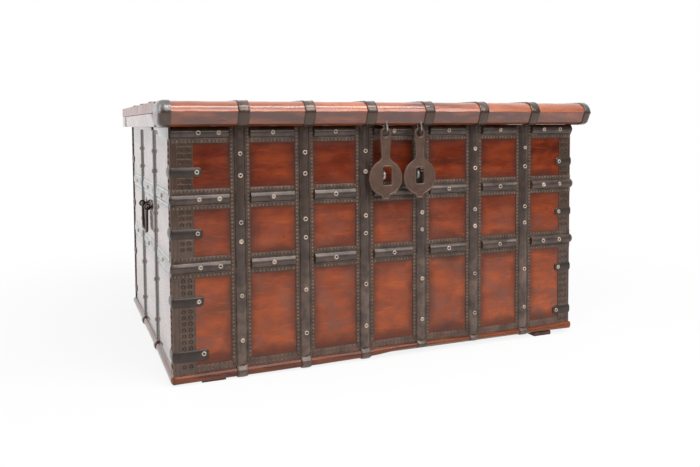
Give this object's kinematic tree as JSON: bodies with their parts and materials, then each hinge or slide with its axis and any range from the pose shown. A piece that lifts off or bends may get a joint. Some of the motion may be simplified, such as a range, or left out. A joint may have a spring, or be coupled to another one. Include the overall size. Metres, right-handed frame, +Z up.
{
  "type": "damchiya chest",
  "caption": "Iron-bound plank storage chest with an overhanging bullnosed lid, hanging disc hasps and drop handles on its ends",
  "frame": {"origin": "middle of the overall box, on the floor under the bearers", "axes": "+Z up, +X along the front to the right as seen from the front, +Y from the front to the back"},
  "size_m": [1.236, 0.9149, 0.6989],
  "materials": {
    "panel_wood": "red-brown varnish, worn",
    "moulding_wood": "orange-brown varnish, worn",
    "lid_wood": "red-brown varnish, worn",
    "inner_wood": "bare aged teak",
    "strap_iron": "dark patina, satin",
    "hasp_iron": "rusty brown patina",
    "bright_iron": "rubbed bright",
    "nail_metal": "rubbed bright"
  },
  "bodies": {
    "chest": {"back_boards": "panel_wood", "back_sill": "inner_wood", "clasp_nails": "nail_metal", "corner_posts": "inner_wood", "end_strap_nails": "nail_metal", "floor_boards": "inner_wood", "front_boards": "panel_wood", "front_foot_strip": "strap_iron", "front_left_clasps": "strap_iron", "front_left_corner_plate": "strap_iron", "front_lower_band": "strap_iron", "front_moulding": "moulding_wood", "front_right_clasps": "strap_iron", "front_right_corner_plate": "strap_iron", "front_strap_1": "strap_iron", "front_strap_2": "strap_iron", "front_strap_3": "strap_iron", "front_strap_4": "strap_iron", "front_strap_5": "strap_iron", "front_strap_6": "strap_iron", "front_strap_nails": "nail_metal", "front_top_band": "strap_iron", "front_upper_band": "strap_iron", "handle_eyes": "strap_iron", "handle_rosettes": "strap_iron", "hasp_staples": "bright_iron", "hinge_pins": "strap_iron", "left_bearer": "inner_wood", "left_end_bands": "strap_iron", "left_end_boards": "panel_wood", "left_end_straps": "strap_iron", "left_moulding": "moulding_wood", "left_top_gusset": "strap_iron", "rear_clasps": "strap_iron", "rear_corner_plates": "strap_iron", "rear_hinge_leaves": "strap_iron", "rear_rails": "lid_wood", "rear_top_board": "lid_wood", "right_bearer": "inner_wood", "right_end_bands": "strap_iron", "right_end_boards": "panel_wood", "right_end_straps": "strap_iron", "right_moulding": "moulding_wood", "right_top_gusset": "strap_iron"},
    "lid": {"hasp_hangers": "bright_iron", "left_lid_rail": "lid_wood", "left_nosing_cap": "strap_iron", "lid_bands": "strap_iron", "lid_battens": "inner_wood", "lid_boards": "lid_wood", "lid_hinge_leaves": "strap_iron", "lid_nosing": "moulding_wood", "lid_strap_nails": "nail_metal", "lid_straps": "strap_iron", "right_lid_rail": "lid_wood", "right_nosing_cap": "strap_iron"},
    "left_hasp": {"left_hasp": "hasp_iron"},
    "right_hasp": {"right_hasp": "hasp_iron"},
    "left_handle": {"left_handle": "strap_iron"},
    "right_handle": {"right_handle": "strap_iron"}
  },
  "joints": [
    {"name": "lid_hinge", "type": "hinge", "parent": "chest", "child": "lid", "pos_m": [0, 0.325, 0.6929], "axis": [-1, 0, 0], "range_deg": [0, 105]},
    {"name": "left_hasp_swing", "type": "hinge", "parent": "lid", "child": "left_hasp", "pos_m": [-0.03793, -0.4315, 0.62], "axis": [-1, 0, 0], "range_deg": [-7, 110]},
    {"name": "right_hasp_swing", "type": "hinge", "parent": "lid", "child": "right_hasp", "pos_m": [0.06207, -0.4315, 0.62], "axis": [-1, 0, 0], "range_deg": [-7, 110]},
    {"name": "left_handle_drop", "type": "hinge", "parent": "chest", "child": "left_handle", "pos_m": [-0.597, 0.0295, 0.398], "axis": [0, 1, 0], "range_deg": [0, 175]},
    {"name": "right_handle_drop", "type": "hinge", "parent": "chest", "child": "right_handle", "pos_m": [0.597, 0.0295, 0.398], "axis": [0, -1, 0], "range_deg": [0, 175]}
  ]
}
